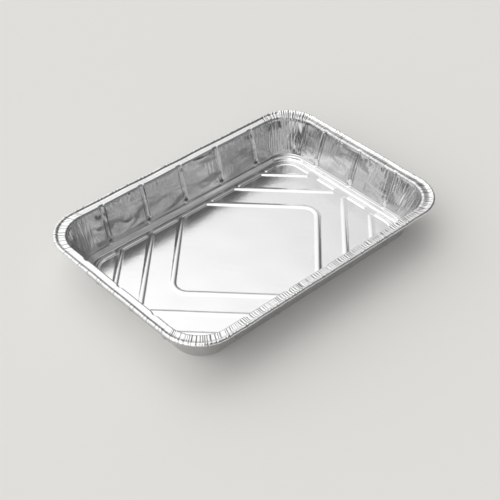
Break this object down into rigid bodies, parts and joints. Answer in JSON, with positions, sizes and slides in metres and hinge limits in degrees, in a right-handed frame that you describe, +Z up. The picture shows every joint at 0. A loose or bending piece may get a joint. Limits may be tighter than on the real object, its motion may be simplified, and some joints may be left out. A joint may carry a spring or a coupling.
{
  "type": "foil tray",
  "caption": "Oblong disposable baking and food tray pressed from aluminium foil, with sloping fluted walls, a flanged and rolled rim, and ribs and a broken bead pressed into the floor.",
  "frame": {"origin": "middle of the flat underside", "axes": "+X along the long side, +Y along the short side, +Z up towards the open top"},
  "size_m": [0.315, 0.215, 0.042],
  "materials": {
    "foil": "bright rolled foil, satin, with fine creases"
  },
  "bodies": {
    "root": {"foil_tray": "foil"}
  },
  "joints": []
}
